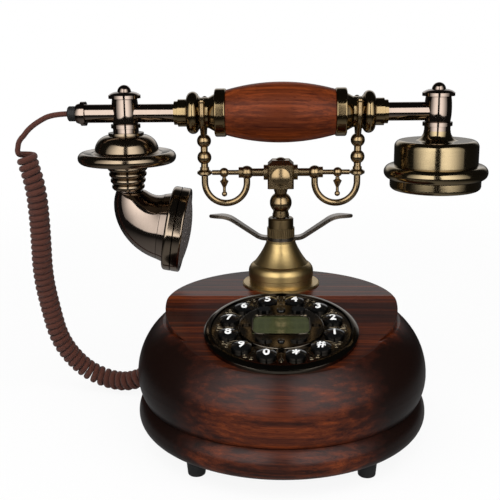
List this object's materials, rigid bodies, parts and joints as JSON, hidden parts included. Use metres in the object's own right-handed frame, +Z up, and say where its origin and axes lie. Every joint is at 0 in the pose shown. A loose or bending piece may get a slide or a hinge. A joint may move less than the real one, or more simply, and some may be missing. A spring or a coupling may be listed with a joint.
{
  "type": "desk telephone",
  "caption": "Reproduction antique desk telephone: turned wood base with push-button dial and display, brass cradle, handset with horn mouthpiece and curled cord.",
  "frame": {"origin": "centre of the round base, on the plane that its rubber feet stand on", "axes": "+X to the right of someone facing the dial, towards the earpiece; +Y away from them, towards the cradle; +Z up"},
  "size_m": [0.3409, 0.2022, 0.2467],
  "materials": {
    "case_wood": "stained and varnished, dark reddish brown",
    "grip_wood": "stained and varnished, red-brown",
    "antique_brass": "antiqued, dark in the recesses",
    "dark_bronze": "polished dark bronze plating",
    "dial_metal": "antiqued with scroll relief",
    "black_keys": "glossy",
    "display_window": "glossy dark window",
    "black_rubber": "matte",
    "black_plastic": "matte",
    "circuit_board": "solder mask",
    "plain_steel": "plain",
    "brown_cord": "woven cover",
    "clear_plug": "glossy"
  },
  "bodies": {
    "base": {"upper_case": "case_wood", "lower_case": "case_wood", "bottom_cover": "black_plastic", "rubber_feet": "black_rubber", "cover_screws": "plain_steel", "ringer_speaker": "black_plastic", "hook_switch": "black_plastic", "hook_spring": "plain_steel", "modular_jacks": "black_plastic", "pedestal_washer": "antique_brass", "pedestal_cone": "antique_brass", "leaf_arms": "antique_brass", "knurled_nut": "antique_brass", "guide_tube": "antique_brass", "dial_bezel": "dial_metal", "dial_plate": "dial_metal", "display_frame": "dial_metal", "display_glass": "display_window", "keypad_mat": "black_rubber", "circuit_boards": "circuit_board", "cord_lead": "brown_cord", "cord_coil": "brown_cord", "cord_plug": "clear_plug"},
    "cradle": {"plunger_post": "antique_brass", "hub_cube": "antique_brass", "cross_rods": "antique_brass", "scroll_hooks": "antique_brass", "drop_finials": "antique_brass", "cradle_posts": "antique_brass", "handset_forks": "antique_brass"},
    "handset": {"wood_grip": "grip_wood", "grip_necks": "dark_bronze", "handset_tube": "dark_bronze", "tube_end_cap": "dark_bronze", "cord_boot": "black_rubber", "handset_tees": "dark_bronze", "mouthpiece_bell": "dark_bronze", "mouthpiece_elbow": "dark_bronze", "mouthpiece_cap": "dark_bronze", "earpiece_shell": "dark_bronze", "earpiece_cap": "dark_bronze", "sound_capsules": "black_plastic"},
    "key_1": {"key_1": "black_keys"},
    "key_2": {"key_2": "black_keys"},
    "key_3": {"key_3": "black_keys"},
    "key_4": {"key_4": "black_keys"},
    "key_5": {"key_5": "black_keys"},
    "key_6": {"key_6": "black_keys"},
    "key_7": {"key_7": "black_keys"},
    "key_8": {"key_8": "black_keys"},
    "key_9": {"key_9": "black_keys"},
    "key_0": {"key_0": "black_keys"},
    "key_star": {"key_star": "black_keys"},
    "key_hash": {"key_hash": "black_keys"},
    "oval_key_left": {"oval_key_left": "black_keys"},
    "oval_key_right": {"oval_key_right": "black_keys"},
    "lens_key_left": {"lens_key_left": "black_keys"},
    "lens_key_right": {"lens_key_right": "black_keys"},
    "round_key": {"round_key": "black_keys"},
    "small_round_key": {"small_round_key": "black_keys"}
  },
  "joints": [
    {"name": "handset_lift", "type": "slide", "parent": "base", "child": "handset", "axis": [0, 0, 1], "range_m": [0, 0.14]},
    {"name": "cradle_rise", "type": "slide", "parent": "base", "child": "cradle", "axis": [0, 0, 1], "range_m": [0, 0.004], "deforming": ["hook_spring"]},
    {"name": "key_1_press", "type": "slide", "parent": "base", "child": "key_1", "axis": [0, 0.1934, -0.9811], "range_m": [0, 0.0015], "stiffness_N_per_m": 300},
    {"name": "key_2_press", "type": "slide", "parent": "base", "child": "key_2", "axis": [0, 0.1934, -0.9811], "range_m": [0, 0.0015], "stiffness_N_per_m": 300},
    {"name": "key_3_press", "type": "slide", "parent": "base", "child": "key_3", "axis": [0, 0.1934, -0.9811], "range_m": [0, 0.0015], "stiffness_N_per_m": 300},
    {"name": "key_4_press", "type": "slide", "parent": "base", "child": "key_4", "axis": [0, 0.1934, -0.9811], "range_m": [0, 0.0015], "stiffness_N_per_m": 300},
    {"name": "key_5_press", "type": "slide", "parent": "base", "child": "key_5", "axis": [0, 0.1934, -0.9811], "range_m": [0, 0.0015], "stiffness_N_per_m": 300},
    {"name": "key_6_press", "type": "slide", "parent": "base", "child": "key_6", "axis": [0, 0.1934, -0.9811], "range_m": [0, 0.0015], "stiffness_N_per_m": 300},
    {"name": "key_7_press", "type": "slide", "parent": "base", "child": "key_7", "axis": [0, 0.1934, -0.9811], "range_m": [0, 0.0015], "stiffness_N_per_m": 300},
    {"name": "key_8_press", "type": "slide", "parent": "base", "child": "key_8", "axis": [0, 0.1934, -0.9811], "range_m": [0, 0.0015], "stiffness_N_per_m": 300},
    {"name": "key_9_press", "type": "slide", "parent": "base", "child": "key_9", "axis": [0, 0.1934, -0.9811], "range_m": [0, 0.0015], "stiffness_N_per_m": 300},
    {"name": "key_0_press", "type": "slide", "parent": "base", "child": "key_0", "axis": [0, 0.1934, -0.9811], "range_m": [0, 0.0015], "stiffness_N_per_m": 300},
    {"name": "key_star_press", "type": "slide", "parent": "base", "child": "key_star", "axis": [0, 0.1934, -0.9811], "range_m": [0, 0.0015], "stiffness_N_per_m": 300},
    {"name": "key_hash_press", "type": "slide", "parent": "base", "child": "key_hash", "axis": [0, 0.1934, -0.9811], "range_m": [0, 0.0015], "stiffness_N_per_m": 300},
    {"name": "oval_key_left_press", "type": "slide", "parent": "base", "child": "oval_key_left", "axis": [0, 0.1934, -0.9811], "range_m": [0, 0.0015], "stiffness_N_per_m": 300},
    {"name": "oval_key_right_press", "type": "slide", "parent": "base", "child": "oval_key_right", "axis": [0, 0.1934, -0.9811], "range_m": [0, 0.0015], "stiffness_N_per_m": 300},
    {"name": "lens_key_left_press", "type": "slide", "parent": "base", "child": "lens_key_left", "axis": [0, 0.1934, -0.9811], "range_m": [0, 0.0015], "stiffness_N_per_m": 300},
    {"name": "lens_key_right_press", "type": "slide", "parent": "base", "child": "lens_key_right", "axis": [0, 0.1934, -0.9811], "range_m": [0, 0.0015], "stiffness_N_per_m": 300},
    {"name": "round_key_press", "type": "slide", "parent": "base", "child": "round_key", "axis": [0, 0.1934, -0.9811], "range_m": [0, 0.0015], "stiffness_N_per_m": 300},
    {"name": "small_round_key_press", "type": "slide", "parent": "base", "child": "small_round_key", "axis": [0, 0.1934, -0.9811], "range_m": [0, 0.0015], "stiffness_N_per_m": 300}
  ],
  "couplings": [
    {"joint": "cradle_rise", "follows": "handset_lift", "ratio": 0.028571}
  ]
}
